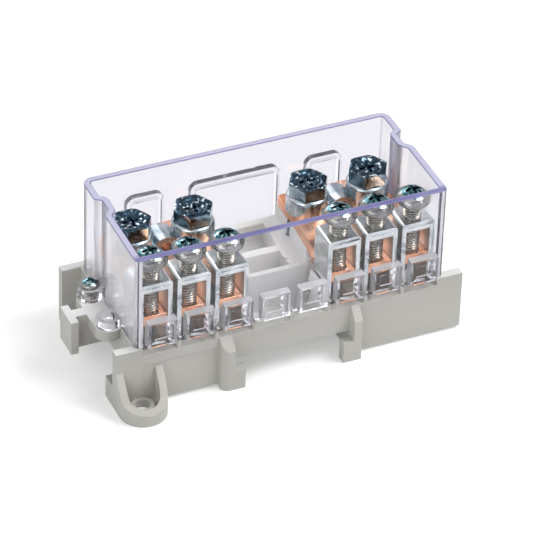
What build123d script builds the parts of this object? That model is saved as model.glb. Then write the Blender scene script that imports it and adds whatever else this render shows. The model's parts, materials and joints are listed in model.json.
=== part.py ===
from build123d import *
import math
import os

# Power distribution block, millimetres. X runs along the row of clamps, Y to the back, Z up.
# The origin lies on the plane that the mounting ears and rail hooks stand on, at the middle of the base.

# Clamp row
clamp_pitch = 10.95
clamp_slots = (-3.5, -2.5, -1.5, 1.5, 2.5, 3.5)
window_count = 8
clamp_setback = 7.45

# Base moulding
end_setback = 5.5
base_depth = 42.8
skirt_thickness = 2.6
skirt_bottom = 0.9
skirt_top = 18.9
rail_plane = 8.4
floor_thickness = 2.0
end_wall = 2.0
seat_top = 26.8
seat_wall = 2.4
seat_roof = 6.4
seat_back_gap = 1.2
seat_front_gap = 0.2
plateau_top = 22.4
plateau_proud = 0.6
pocket_margin = 4.6
pocket_wall = 1.5
pocket_length = 6.5
pocket_depth = 5.0
pocket_gap = 2.4
partition_slots = (-3, -2, -1, 1, 2, 3)
partition_gap = 0.25
partition_drop = 0.6
partition_setback = 0.4
step_top = 13.5
step_depth = 0.2
step_start = 1.3

# Rail feet, for a 35 mm top-hat rail that runs along Y
rail_width = 35.0
rail_slot = 1.9
hook_reach = 3.0
foot_proud = 3.0
foot_widths = (3.7, 2.5)
foot_rounds = (2.4, 0.4)
foot_rib = 2.5
foot_slope = 3.6

# Mounting ears
ear_width = 13.4
ear_centre_out = 2.8
ear_floor = 2.0
ear_wall = 2.1
ear_rim_high = 12.4
ear_rim_low = 3.6
ear_rim_bend = (4.8, 5.2)
ear_pad_depth = 4.9
ear_pad_height = 6.8
ear_hole = 4.2
ear_boss = 6.6
ear_boss_height = 0.6

# End platforms and the coupling key
platform_thickness = 3.2
platform_radius = 3.8
platform_fronts = {-1: -7.6, 1: -1.0}
neck_thickness = 3.2
neck_reach = 3.9
key_head_thickness = 2.2
key_head_width = 8.3

# Clear cover
cover_margin = 1.5
cover_inset = 0.2
cover_front_step = 0.7
cover_back_step = 1.8
cover_wall = 1.9
cover_top = 47.8
cover_back_radius = 3.0
cover_front_radius = 1.4
cover_rim_round = 0.25
flute_depth = 1.9
flute_front = 1.6
flute_back = 9.6
flute_slope = 2.4
flute_round = 0.7

# Cable hoods of the cover
hood_gap = 1.7
hood_bottom = 19.9
hood_top = 27.8
hood_proud = 2.5
hood_skin = 1.1
hood_panel_margin = 1.8
hood_panel_height = 3.4
hood_panel_low = 22.5
hood_panel_depth = 0.45
notch_gap = 0.95
notch_bottom = 16.7
main_hood_x = 26.6
main_hood_width = 10.9
middle_hood_width = 26.6
main_hood_top = 37.8
main_hood_proud = 2.0
main_hood_radius = 2.4

# Cover fixing at each end
fix_reach = 2.6
fix_y = 5.6
fix_boss = 6.7
fix_boss_height = 3.7
fix_web = 4.6
fix_shank = 3.0
fix_head = 5.2
fix_head_height = 2.1
fix_cross_span = 2.9
fix_cross_depth = 1.25
fix_length = 6.5
seal_y = -7.6
seal_ring = 6.6
seal_bore = 4.0
seal_height = 2.6

# Copper bars
bar_thickness = 3.0
bar_front_top = 26.6
bar_end_margin = 5.4
bar_clearance = 0.3
bar_back_margin = 1.0
bar_tip_setback = 0.2
bar_root_gap = 0.4
bar_joggle_setback = 0.6
bar_joggle_run = 3.2
finger_clearance = 0.1
bar_corner = 1.0

# Clamp cages, folded from strip
cage_gap = 1.35
cage_depth = 8.5
cage_sheet = 1.3
cage_top = 37.0
cage_bottom = 14.4
cage_fold = 1.0
cage_serrations = 4
serration_depth = 0.35

# Clamp screws, M5
clamp_shank = 5.0
clamp_thread_clearance = 0.05
clamp_head = 9.5
clamp_head_height = 3.7
clamp_head_edge = 1.2
clamp_head_round = 0.3
clamp_head_under = 41.6
clamp_tip_chamfer = 0.6
cross_blade = 1.1
cross_span = 4.9
cross_depth = 2.2
cross_taper = 8.0

# Main terminals: saddle, two M6 bolts and their nuts
bolt_setback = 8.4
bolt_inset = 10.3
bolt_spacing = 18.0
saddle_width = 12.0
saddle_height = 5.4
saddle_sheet = 1.8
arch_radius = 4.6
arch_drop = 1.0
arch_depth = 7.2
cup_round = 1.2
bolt_shank = 6.0
bolt_length = 17.0
bolt_head_flats = 10.0
bolt_head_height = 4.0
bolt_head_chamfer = 0.7
bolt_tip_chamfer = 0.6
bolt_cross_span = 5.0
bolt_cross_depth = 1.8
bolt_clearance = 0.25
bolt_thread_clearance = 0.05
nut_height = 5.0
nut_clearance = 0.15

# How far cutting shapes pass the faces that they cut, and how near a face is found
overshoot = 1.0
near = 0.1

# Places that follow from the sizes above
cover_length = window_count * clamp_pitch + 2 * cover_margin
box_length = cover_length + 2 * cover_inset
base_length = box_length + 2 * end_setback
half_length = base_length / 2
half_depth = base_depth / 2
skirt_y = half_depth - skirt_thickness / 2
inner_y = half_depth - skirt_thickness
cover_front = -half_depth + cover_front_step
cover_back = half_depth - cover_back_step
clamp_y = cover_front + clamp_setback
cage_front = clamp_y - cage_depth / 2
cage_back = clamp_y + cage_depth / 2
bar_tip = cage_front + bar_tip_setback
bar_root = cage_back + bar_root_gap
bar_joggle_start = bar_root + bar_joggle_setback
bar_joggle_end = bar_joggle_start + bar_joggle_run
seat_front = bar_joggle_end + seat_front_gap
seat_back = inner_y - seat_back_gap
bar_back = seat_back - bar_back_margin
bolt_y = bar_back - bolt_setback
plateau_front = seat_front - plateau_proud
pocket_front = plateau_front + pocket_wall
pocket_middle = pocket_front + pocket_length
half_box = box_length / 2
floor_top = rail_plane + floor_thickness
half_rail = rail_width / 2
hook_top = rail_plane - rail_slot
ear_radius = ear_width / 2
ear_x = half_length - ear_radius
ear_y = -half_depth - ear_centre_out
fix_x = cover_length / 2 + fix_reach
fix_boss_top = skirt_top + fix_boss_height
notch_width = clamp_pitch - notch_gap
hood_width = notch_width - hood_gap
hood_panel_width = hood_width - 2 * hood_panel_margin
main_hoods = ((-main_hood_x, main_hood_width), (0, middle_hood_width), (main_hood_x, main_hood_width))
bolt_outer = cover_length / 2 - bolt_inset
bolt_inner = bolt_outer - bolt_spacing
bolt_mid = (bolt_inner + bolt_outer) / 2
bar_inner_x = bolt_inner - bar_end_margin
pocket_half = bar_inner_x - pocket_margin
bar_front_bottom = bar_front_top - bar_thickness
bar_back_bottom = seat_top
bar_back_top = seat_top + bar_thickness
cage_width = clamp_pitch - cage_gap
cage_inner = cage_width - 2 * cage_sheet
partition_thickness = cage_gap - 2 * partition_gap
cage_inner_top = cage_top - 2 * cage_sheet
finger_width = cage_inner - 2 * finger_clearance
clamp_xs = [clamp_pitch * slot for slot in clamp_slots]
bar_outer_x = max(clamp_xs) + finger_width / 2
bar_waist_x = cover_length / 2 - flute_depth - cover_wall - bar_clearance
window_xs = [clamp_pitch * (i - (window_count - 1) / 2) for i in range(window_count)]
saddle_top = bar_back_top + saddle_height
clamp_head_top = clamp_head_under + clamp_head_height
bolt_xs = {
    "left_outer": -bolt_outer,
    "left_inner": -bolt_inner,
    "right_inner": bolt_inner,
    "right_outer": bolt_outer,
}


def box_between(x0, x1, y0, y1, z0, z1, mode=Mode.ADD):
    """Adds or cuts a block given by its two corners in the open part."""
    with Locations(((x0 + x1) / 2, (y0 + y1) / 2, (z0 + z1) / 2)):
        Box(abs(x1 - x0), abs(y1 - y0), abs(z1 - z0), mode=mode)


def cross_recess(top, span, depth):
    """Cuts a cross recess down to depth below the height top, on the Z axis of the open part."""
    with BuildSketch(Plane.XY.offset(top - depth)) as cross:
        Rectangle(span, cross_blade)
        Rectangle(cross_blade, span)
    extrude(cross.sketch, amount=2 * depth, taper=-cross_taper, mode=Mode.SUBTRACT)


def dome_points(radius, low, top):
    """Three points of a domed head's profile: its rim, a point between, and its crown on the axis."""
    rise = top - low
    sphere = (radius**2 + rise**2) / (2 * rise)
    between = radius / 2
    return (radius, low), (between, top - sphere + math.sqrt(sphere**2 - between**2)), (0, top)


# The base is one moulding. Its ears, bar seats and plateau are written as solids of their own,
# face to face with the rest.
with BuildPart() as front_ear:
    with BuildSketch():
        with Locations((-ear_x, ear_y)):
            Circle(ear_radius)
        with Locations((-ear_x, (ear_y - half_depth) / 2)):
            Rectangle(ear_width, -half_depth - ear_y)
    extrude(amount=ear_rim_high)
    with BuildSketch(Plane.XY.offset(ear_floor)):
        with Locations((-ear_x, ear_y)):
            Circle(ear_radius - ear_wall)
        with Locations((-ear_x, (ear_y - half_depth) / 2)):
            Rectangle(ear_width - 2 * ear_wall, -half_depth - ear_y)
    extrude(amount=ear_rim_high, mode=Mode.SUBTRACT)
    front = ear_y - ear_radius
    with BuildSketch(Plane.YZ.offset(-half_length - overshoot)):
        with BuildLine():
            Polyline(
                (-half_depth, ear_rim_high),
                (-half_depth - ear_rim_bend[0], ear_rim_bend[1]),
                (front, ear_rim_low),
                (front - overshoot, ear_rim_low),
                (front - overshoot, ear_rim_high + overshoot),
                (-half_depth, ear_rim_high + overshoot),
                close=True,
            )
        make_face()
    extrude(amount=ear_width + 2 * overshoot, mode=Mode.SUBTRACT)
    with Locations((-ear_x, ear_y, ear_floor)):
        Cylinder(ear_boss / 2, ear_boss_height, align=(Align.CENTER, Align.CENTER, Align.MIN))
    ear_right = -half_length + ear_width
    box_between(
        -half_length - overshoot, ear_right + overshoot, -half_depth, -half_depth + ear_width,
        0, ear_rim_high, mode=Mode.SUBTRACT,
    )
    box_between(-half_length, ear_right, -inner_y, -inner_y + ear_pad_depth, 0, ear_pad_height)
    box_between(-half_length, ear_right, -half_depth, -inner_y, 0, skirt_bottom)
    with Locations((-ear_x, ear_y, 0)):
        Cylinder(ear_hole / 2, 4 * ear_floor, mode=Mode.SUBTRACT)


with BuildPart() as feet:
    for side, width in zip((-1, 1), foot_widths):
        with BuildSketch() as column:
            with Locations((side * (half_rail + width / 2), -half_depth - foot_proud / 2)):
                Rectangle(width, foot_proud)
            corner = column.vertices().sort_by(Axis.Y)[:2].sort_by(Axis.X)[0 if side < 0 else -1]
            fillet(corner, foot_rounds[0 if side < 0 else 1])
        extrude(amount=notch_bottom)
        box_between(
            side * half_rail, side * (half_rail - hook_reach),
            -half_depth - foot_proud, -half_depth, 0, hook_top,
        )
    with BuildSketch(Plane.YZ.offset(-half_length)):
        with BuildLine():
            Polyline(
                (-half_depth, notch_bottom), (-half_depth - foot_proud, notch_bottom - foot_slope),
                (-half_depth - foot_proud, notch_bottom), close=True,
            )
        make_face()
    extrude(amount=base_length, mode=Mode.SUBTRACT)


with BuildPart() as base:
    for side in (-1, 1):
        box_between(
            -half_length, half_length,
            side * skirt_y - skirt_thickness / 2, side * skirt_y + skirt_thickness / 2,
            skirt_bottom, skirt_top,
        )
    box_between(-half_rail, half_rail, -half_depth, half_depth, 0, rail_plane, mode=Mode.SUBTRACT)
    box_between(
        -ear_x + step_start, -half_rail - foot_widths[0],
        -half_depth, -half_depth + step_depth, skirt_bottom, step_top, mode=Mode.SUBTRACT,
    )
    box_between(-half_box, half_box, -inner_y, inner_y, rail_plane, floor_top)
    for side in (-1, 1):
        box_between(side * half_box, side * (half_box - end_wall), -inner_y, inner_y, rail_plane, skirt_top)
        box_between(
            side * half_rail, side * (half_rail + foot_rib), -inner_y, inner_y, skirt_bottom, rail_plane,
        )
        box_between(
            side * bar_inner_x, side * bar_waist_x, seat_front, seat_back, rail_plane, floor_top,
            mode=Mode.SUBTRACT,
        )
    box_between(
        -bar_inner_x, bar_inner_x, plateau_front, seat_back, rail_plane, floor_top, mode=Mode.SUBTRACT,
    )

    # Partitions between neighbouring clamps
    for slot in partition_slots:
        x = clamp_pitch * slot
        box_between(
            x - partition_thickness / 2, x + partition_thickness / 2,
            cage_front, bar_root - partition_setback,
            floor_top, bar_front_bottom - partition_drop,
        )

    # The end platforms carry the cover's fixing screws; a neighbouring block hooks onto the left one's key.
    for side, platform_front in platform_fronts.items():
        with BuildSketch(Plane.XY.offset(skirt_top - platform_thickness)):
            with Locations((side * fix_x, platform_front), (side * fix_x, fix_y)):
                Circle(platform_radius)
            with Locations((side * fix_x, (platform_front + fix_y) / 2)):
                Rectangle(2 * platform_radius, fix_y - platform_front)
        extrude(amount=platform_thickness)
        box_between(
            side * half_box, side * (fix_x + platform_radius),
            -neck_thickness / 2, neck_thickness / 2, rail_plane, skirt_top,
        )
    key_x = -half_length - neck_reach
    box_between(-half_box, key_x, -neck_thickness / 2, neck_thickness / 2, rail_plane, skirt_top)
    box_between(
        key_x, key_x - key_head_thickness, -key_head_width / 2, key_head_width / 2, rail_plane, skirt_top,
    )

    # Wire notches in the front skirt
    for x in window_xs:
        box_between(
            x - notch_width / 2, x + notch_width / 2, -half_depth, -inner_y, notch_bottom, skirt_top,
            mode=Mode.SUBTRACT,
        )
    for side in (-1, 1):
        with Locations((side * fix_x, fix_y, fix_boss_top)):
            Cylinder(fix_shank / 2 + bolt_thread_clearance, 2 * fix_length, mode=Mode.SUBTRACT)

    add(feet.part)
    add(feet.part.rotate(Axis.Z, 180))


# The hollow seat that a bar lies on, with a pocket for each captive nut
with BuildPart() as right_seat:
    box_between(bar_inner_x, bar_waist_x, seat_front, seat_back, rail_plane, seat_top)
    box_between(
        bar_inner_x + seat_wall, bar_waist_x - seat_wall, seat_front + seat_wall, seat_back - seat_wall,
        rail_plane, seat_top - seat_roof, mode=Mode.SUBTRACT,
    )
    for x in (bolt_inner, bolt_outer):
        with BuildSketch(Plane.XY.offset(seat_top - nut_height)):
            with Locations((x, bolt_y)):
                RegularPolygon(bolt_head_flats / 2 + nut_clearance, 6, major_radius=False)
        extrude(amount=nut_height, mode=Mode.SUBTRACT)
        with Locations((x, bolt_y, seat_top - seat_roof)):
            Cylinder(bolt_shank / 2 + bolt_clearance, 2 * seat_roof, mode=Mode.SUBTRACT)


with BuildPart() as plateau:
    box_between(-bar_inner_x, bar_inner_x, plateau_front, seat_back, rail_plane, plateau_top)
    box_between(
        -bar_inner_x + seat_wall, bar_inner_x - seat_wall, plateau_front + seat_wall, seat_back - seat_wall,
        rail_plane, plateau_top - pocket_depth - seat_wall, mode=Mode.SUBTRACT,
    )
    pockets = ((pocket_front, pocket_middle), (pocket_middle + pocket_gap, seat_back - seat_wall))
    for y0, y1 in pockets:
        box_between(
            -pocket_half, pocket_half, y0, y1,
            plateau_top - pocket_depth, plateau_top, mode=Mode.SUBTRACT,
        )
    with BuildSketch(Plane.XY.offset(seat_top - nut_height)):
        with Locations((-bolt_inner, bolt_y), (bolt_inner, bolt_y)):
            RegularPolygon(bolt_head_flats / 2 + nut_clearance, 6, major_radius=False)
    extrude(amount=nut_height, mode=Mode.SUBTRACT)


with BuildPart() as cover:
    cover_y = (cover_front + cover_back) / 2
    cover_depth = cover_back - cover_front
    with BuildSketch(Plane.XY.offset(skirt_top)) as footprint:
        with Locations((0, cover_y)):
            Rectangle(cover_length, cover_depth)
        for side in (-1, 1):
            edge = side * cover_length / 2
            bottom = side * (cover_length / 2 - flute_depth)
            with BuildLine():
                Polyline(
                    (edge + side * overshoot, flute_front), (edge, flute_front),
                    (bottom, flute_front + flute_slope), (bottom, flute_back - flute_slope / 2),
                    (edge, flute_back), (edge + side * overshoot, flute_back), close=True,
                )
            make_face(mode=Mode.SUBTRACT)
        corners = footprint.vertices().filter_by_position(Axis.Y, cover_back - near, cover_back + near)
        fillet(corners, cover_back_radius)
        corners = footprint.vertices().filter_by_position(Axis.Y, cover_front - near, cover_front + near)
        fillet(corners, cover_front_radius)
        bends = footprint.vertices().filter_by_position(Axis.Y, flute_front - near, flute_back + near)
        fillet(bends, flute_round)
    extrude(amount=cover_top - skirt_top)
    inside = offset(footprint.sketch, amount=-cover_wall, kind=Kind.INTERSECTION, mode=Mode.PRIVATE)
    extrude(inside, amount=cover_top - skirt_top, mode=Mode.SUBTRACT)
    fillet(cover.faces().sort_by(Axis.Z)[-1].edges(), cover_rim_round)

    # Front hoods over the wire notches
    for x in window_xs:
        box_between(
            x - hood_width / 2, x + hood_width / 2, cover_front - hood_proud, cover_front + cover_wall / 2,
            hood_bottom, hood_top,
        )
    for x in window_xs:
        half = hood_width / 2 - hood_skin
        box_between(
            x - half, x + half, cover_front - hood_proud + hood_skin, cover_front + 2 * cover_wall,
            skirt_top, hood_top - hood_skin, mode=Mode.SUBTRACT,
        )
        box_between(
            x - hood_panel_width / 2, x + hood_panel_width / 2,
            cover_front - hood_proud, cover_front - hood_proud + hood_panel_depth,
            hood_panel_low, hood_panel_low + hood_panel_height, mode=Mode.SUBTRACT,
        )

    # Back hoods over the main cable entries
    hood_steps = ((0, cover_wall / 2, Mode.ADD), (hood_skin, 2 * cover_wall, Mode.SUBTRACT))
    for x, width in main_hoods:
        for inset, reach, mode in hood_steps:
            with BuildSketch(Plane.XZ.offset(-cover_back - main_hood_proud + inset)):
                with BuildLine():
                    half = width / 2 - inset
                    top = main_hood_top - inset
                    radius = main_hood_radius - inset
                    FilletPolyline(
                        (x - half, skirt_top), (x - half, top), (x + half, top), (x + half, skirt_top),
                        radius=radius,
                    )
                    Line((x + half, skirt_top), (x - half, skirt_top))
                make_face()
            extrude(amount=main_hood_proud + reach - inset, mode=mode)

    # Fixing boss at each end, sealing ring at the left end
    for side in (-1, 1):
        with BuildSketch(Plane.XY.offset(skirt_top)):
            with Locations((side * fix_x, fix_y)):
                Circle(fix_boss / 2)
            with Locations((side * (fix_x + cover_length / 2 - flute_depth) / 2, fix_y)):
                Rectangle(fix_reach + flute_depth, fix_web)
        extrude(amount=fix_boss_height)
        with Locations((side * fix_x, fix_y, skirt_top)):
            Cylinder(fix_shank / 2 + bolt_clearance, 4 * fix_boss_height, mode=Mode.SUBTRACT)
    with BuildSketch(Plane.XY.offset(skirt_top)):
        with Locations((-fix_x, seal_y)):
            Circle(seal_ring / 2)
    extrude(amount=seal_height)
    with Locations((-fix_x, seal_y, skirt_top)):
        Cylinder(seal_bore / 2, 4 * seal_height, mode=Mode.SUBTRACT)


with BuildPart() as cover_screw:
    with BuildSketch(Plane.XZ):
        with BuildLine():
            Polyline(
                (0, -fix_length), (fix_shank / 2, -fix_length), (fix_shank / 2, 0),
                (fix_head / 2, 0), (fix_head / 2, fix_head_height / 2),
            )
            ThreePointArc(*dome_points(fix_head / 2, fix_head_height / 2, fix_head_height))
            Line((0, fix_head_height), (0, -fix_length))
        make_face()
    revolve(axis=Axis.Z)
    cross_recess(fix_head_height, fix_cross_span, fix_cross_depth)


with BuildPart() as right_busbar:
    with BuildSketch(Plane.YZ.offset(bar_inner_x)):
        with BuildLine():
            Polyline(
                (bar_tip, bar_front_bottom), (bar_tip, bar_front_top), (bar_joggle_start, bar_front_top),
                (bar_joggle_end, bar_back_top), (bar_back, bar_back_top), (bar_back, bar_back_bottom),
                (bar_joggle_end, bar_back_bottom), (bar_joggle_start, bar_front_bottom), close=True,
            )
        make_face()
    extrude(amount=bar_outer_x - bar_inner_x)
    fingers = [x for x in clamp_xs if x > 0]
    gaps = [(bar_inner_x - overshoot, fingers[0] - finger_width / 2)]
    gaps += [(a + finger_width / 2, b - finger_width / 2) for a, b in zip(fingers, fingers[1:])]
    gaps += [(fingers[-1] + finger_width / 2, bar_outer_x + overshoot)]
    for x0, x1 in gaps:
        box_between(
            x0, x1, bar_tip - overshoot, bar_root,
            bar_front_bottom - overshoot, bar_front_top + overshoot, mode=Mode.SUBTRACT,
        )
    for x in (bolt_inner, bolt_outer):
        with Locations((x, bolt_y, bar_back_top)):
            Cylinder(bolt_shank / 2 + bolt_clearance, 4 * bar_thickness, mode=Mode.SUBTRACT)
    box_between(
        bar_waist_x, bar_outer_x + overshoot, bar_joggle_end, bar_back + overshoot,
        bar_back_bottom - overshoot, bar_back_top + overshoot, mode=Mode.SUBTRACT,
    )
    upright = right_busbar.edges().filter_by(Axis.Z)
    fillet(upright.filter_by_position(Axis.Y, bar_back - near, bar_back + near), bar_corner)


with BuildPart() as cage:
    with BuildSketch(Plane.XZ.offset(-cage_back)):
        with Locations((0, (cage_top + cage_bottom) / 2)):
            RectangleRounded(cage_width, cage_top - cage_bottom, cage_fold)
        with Locations((0, (cage_inner_top + cage_bottom + cage_sheet) / 2)):
            Rectangle(cage_inner, cage_inner_top - cage_bottom - cage_sheet, mode=Mode.SUBTRACT)
    extrude(amount=cage_depth)
    with Locations((0, clamp_y, cage_top)):
        Cylinder(clamp_shank / 2 + clamp_thread_clearance, 6 * cage_sheet, mode=Mode.SUBTRACT)
    # Serrated floor, grooves across the wire
    groove_step = cage_depth / cage_serrations
    with BuildSketch(Plane.YZ.offset(-cage_inner / 2)):
        with BuildLine():
            for i in range(cage_serrations):
                y = cage_front + (i + 0.5) * groove_step
                Polyline(
                    (y - serration_depth, cage_bottom + cage_sheet),
                    (y, cage_bottom + cage_sheet - serration_depth),
                    (y + serration_depth, cage_bottom + cage_sheet), close=True,
                )
        make_face()
    extrude(amount=cage_inner, mode=Mode.SUBTRACT)


with BuildPart() as clamp_screw:
    with BuildSketch(Plane.XZ):
        with BuildLine():
            shank = clamp_shank / 2
            rim = clamp_head / 2
            Polyline(
                (0, bar_front_top), (shank - clamp_tip_chamfer, bar_front_top),
                (shank, bar_front_top + clamp_tip_chamfer), (shank, clamp_head_under),
                (rim - clamp_head_round, clamp_head_under), (rim, clamp_head_under + clamp_head_round),
                (rim, clamp_head_under + clamp_head_edge),
            )
            ThreePointArc(*dome_points(rim, clamp_head_under + clamp_head_edge, clamp_head_top))
            Line((0, clamp_head_top), (0, bar_front_top))
        make_face()
    revolve(axis=Axis.Z)
    cross_recess(clamp_head_top, cross_span, cross_depth)


with BuildPart() as saddle:
    cups = [(side * (bolt_outer - bolt_inner) / 2, 0) for side in (-1, 1)]
    arch_z = bar_back_top - arch_drop
    with BuildSketch(Plane.XY.offset(bar_back_top)):
        with Locations(*cups):
            Circle(saddle_width / 2)
    extrude(amount=saddle_height)
    fillet(saddle.faces().filter_by(Axis.Z).group_by(Axis.Z)[-1].edges(), cup_round)
    with BuildSketch(Plane.XZ.offset(-arch_depth / 2)):
        with Locations((0, arch_z)):
            Circle(arch_radius)
    extrude(amount=arch_depth)
    split(bisect_by=Plane.XY.offset(bar_back_top), keep=Keep.TOP)
    with BuildSketch(Plane.XY.offset(bar_back_top)):
        with Locations(*cups):
            Circle(saddle_width / 2 - saddle_sheet)
    extrude(amount=saddle_height - saddle_sheet, mode=Mode.SUBTRACT)
    with BuildSketch(Plane.XZ.offset(-saddle_width / 2)):
        with Locations((0, arch_z)):
            Circle(arch_radius - saddle_sheet)
    extrude(amount=saddle_width, mode=Mode.SUBTRACT)
    with Locations(*[(x, y, saddle_top) for x, y in cups]):
        Cylinder(bolt_shank / 2 + bolt_clearance, 4 * saddle_sheet, mode=Mode.SUBTRACT)


with BuildPart() as saddle_bolt:
    with BuildSketch(Plane.XY.offset(saddle_top)):
        RegularPolygon(bolt_head_flats / 2, 6, major_radius=False)
    extrude(amount=bolt_head_height)
    corner = bolt_head_flats / 2 / math.cos(math.pi / 6)
    top = saddle_top + bolt_head_height
    with BuildSketch(Plane.XZ):
        with BuildLine():
            Polyline(
                (corner + overshoot, top + overshoot), (corner - 2 * bolt_head_chamfer, top + overshoot),
                (corner - 2 * bolt_head_chamfer, top), (corner, top - bolt_head_chamfer),
                (corner + overshoot, top - bolt_head_chamfer), close=True,
            )
        make_face()
    revolve(axis=Axis.Z, mode=Mode.SUBTRACT)
    with Locations((0, 0, saddle_top)):
        Cylinder(bolt_shank / 2, bolt_length, align=(Align.CENTER, Align.CENTER, Align.MAX))
    chamfer(saddle_bolt.faces().sort_by(Axis.Z)[0].edges(), bolt_tip_chamfer)
    cross_recess(top, bolt_cross_span, bolt_cross_depth)


with BuildPart() as saddle_nut:
    with BuildSketch(Plane.XY.offset(seat_top - nut_height)):
        RegularPolygon(bolt_head_flats / 2, 6, major_radius=False)
        Circle(bolt_shank / 2 + bolt_thread_clearance, mode=Mode.SUBTRACT)
    extrude(amount=nut_height)


def write(piece, name):
    """Labels a finished piece and writes its STEP file."""
    piece.label = name
    export_step(piece, f"parts/{name}.step")


os.makedirs("parts", exist_ok=True)
base.part.label = "base"
export_step(base.part, "parts/base.step")
plateau.part.label = "base_plateau"
export_step(plateau.part, "parts/base_plateau.step")
right_seat.part.label = "base_right_seat"
export_step(right_seat.part, "parts/base_right_seat.step")
write(mirror(right_seat.part, about=Plane.YZ, mode=Mode.PRIVATE), "base_left_seat")
front_ear.part.label = "base_front_ear"
export_step(front_ear.part, "parts/base_front_ear.step")
write(front_ear.part.rotate(Axis.Z, 180), "base_back_ear")
cover.part.label = "cover"
export_step(cover.part, "parts/cover.step")
right_busbar.part.label = "right_busbar"
export_step(right_busbar.part, "parts/right_busbar.step")
write(mirror(right_busbar.part, about=Plane.YZ, mode=Mode.PRIVATE), "left_busbar")
for name, side in (("left", -1), ("right", 1)):
    write(cover_screw.part.moved(Location((side * fix_x, fix_y, fix_boss_top))), f"cover_screw_{name}")
    write(saddle.part.moved(Location((side * bolt_mid, bolt_y, 0))), f"{name}_saddle")
for number, x in enumerate(clamp_xs, start=1):
    write(cage.part.moved(Location((x, 0, 0))), f"clamp_cage_{number}")
    write(clamp_screw.part.moved(Location((x, clamp_y, 0))), f"clamp_screw_{number}")
for name, x in bolt_xs.items():
    write(saddle_bolt.part.moved(Location((x, bolt_y, 0))), f"saddle_bolt_{name}")
    write(saddle_nut.part.moved(Location((x, bolt_y, 0))), f"saddle_nut_{name}")
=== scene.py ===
"""Power distribution block: grey base, clear cover, copper bars, cage clamps and bolted saddles.

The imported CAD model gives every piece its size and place. The classes below build the finished
pieces on it, the studio lights them, and the camera looks from the photograph's side.
"""

import json
import logging
import math
from dataclasses import dataclass
from enum import Enum, IntEnum

import bmesh
import bpy
from mathutils import Matrix, Vector

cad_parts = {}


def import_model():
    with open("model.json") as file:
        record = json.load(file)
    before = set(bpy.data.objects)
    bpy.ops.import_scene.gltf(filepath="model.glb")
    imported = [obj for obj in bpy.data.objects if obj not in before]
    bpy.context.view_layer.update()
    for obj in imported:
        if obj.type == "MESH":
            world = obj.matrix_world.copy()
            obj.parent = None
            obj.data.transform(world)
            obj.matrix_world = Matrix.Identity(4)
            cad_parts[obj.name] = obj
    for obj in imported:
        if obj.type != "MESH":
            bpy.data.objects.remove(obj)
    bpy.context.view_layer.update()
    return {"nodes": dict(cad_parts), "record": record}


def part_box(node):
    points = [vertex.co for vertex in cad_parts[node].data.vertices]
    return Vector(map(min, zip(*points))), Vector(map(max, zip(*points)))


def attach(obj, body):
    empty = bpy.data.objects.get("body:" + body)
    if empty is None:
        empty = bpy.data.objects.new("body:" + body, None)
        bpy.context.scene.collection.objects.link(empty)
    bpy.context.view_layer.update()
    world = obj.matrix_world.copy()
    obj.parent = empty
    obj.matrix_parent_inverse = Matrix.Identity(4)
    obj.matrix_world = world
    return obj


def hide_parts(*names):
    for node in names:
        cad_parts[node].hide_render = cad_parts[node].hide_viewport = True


LOG = logging.getLogger("distribution_block")
Colour = tuple[float, float, float]

MM = 0.001
# Vertices nearer than this are one, and faces that turn by less than this are one face.
WELD = 1e-6
FLAT_ANGLE = math.radians(0.5)
# How much of a face's normal lies along an axis: at all, squarely, and all but exactly.
FACING = 0.5
SQUARE_ON = 0.9
LEVEL = 0.99
# The range that Blender's noise keeps to for the most part.
NOISE_LOW, NOISE_HIGH = 0.3, 0.7
# Where the colour sockets of a Mix node stand among its inputs and outputs.
MIX_A, MIX_B, MIX_RESULT = 6, 7, 2


class Part(Enum):
    """Kinds of repeated piece, by the start of their node's name."""

    CAGE = "clamp_cage"
    CLAMP_SCREW = "clamp_screw"
    COVER_SCREW = "cover_screw"
    SADDLE_BOLT = "saddle_bolt"
    SADDLE_NUT = "saddle_nut"


class ScrewFace(IntEnum):
    """A screw's finishes, by their place in its list."""

    HEAD = 0
    THREAD = 1
    # Painted shade and painted glints on the head's top.
    CROWN = 2
    # Painted shade in the thread's grooves.
    ROOT = 3


class CoverFace(IntEnum):
    """The cover's finishes, by their place in its list."""

    CLEAR = 0
    RIM = 1
    RIM_EDGE = 2
    END_WALL = 3
    HOOD = 4
    BACK_WALL = 5
    WALL_END = 6


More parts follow.
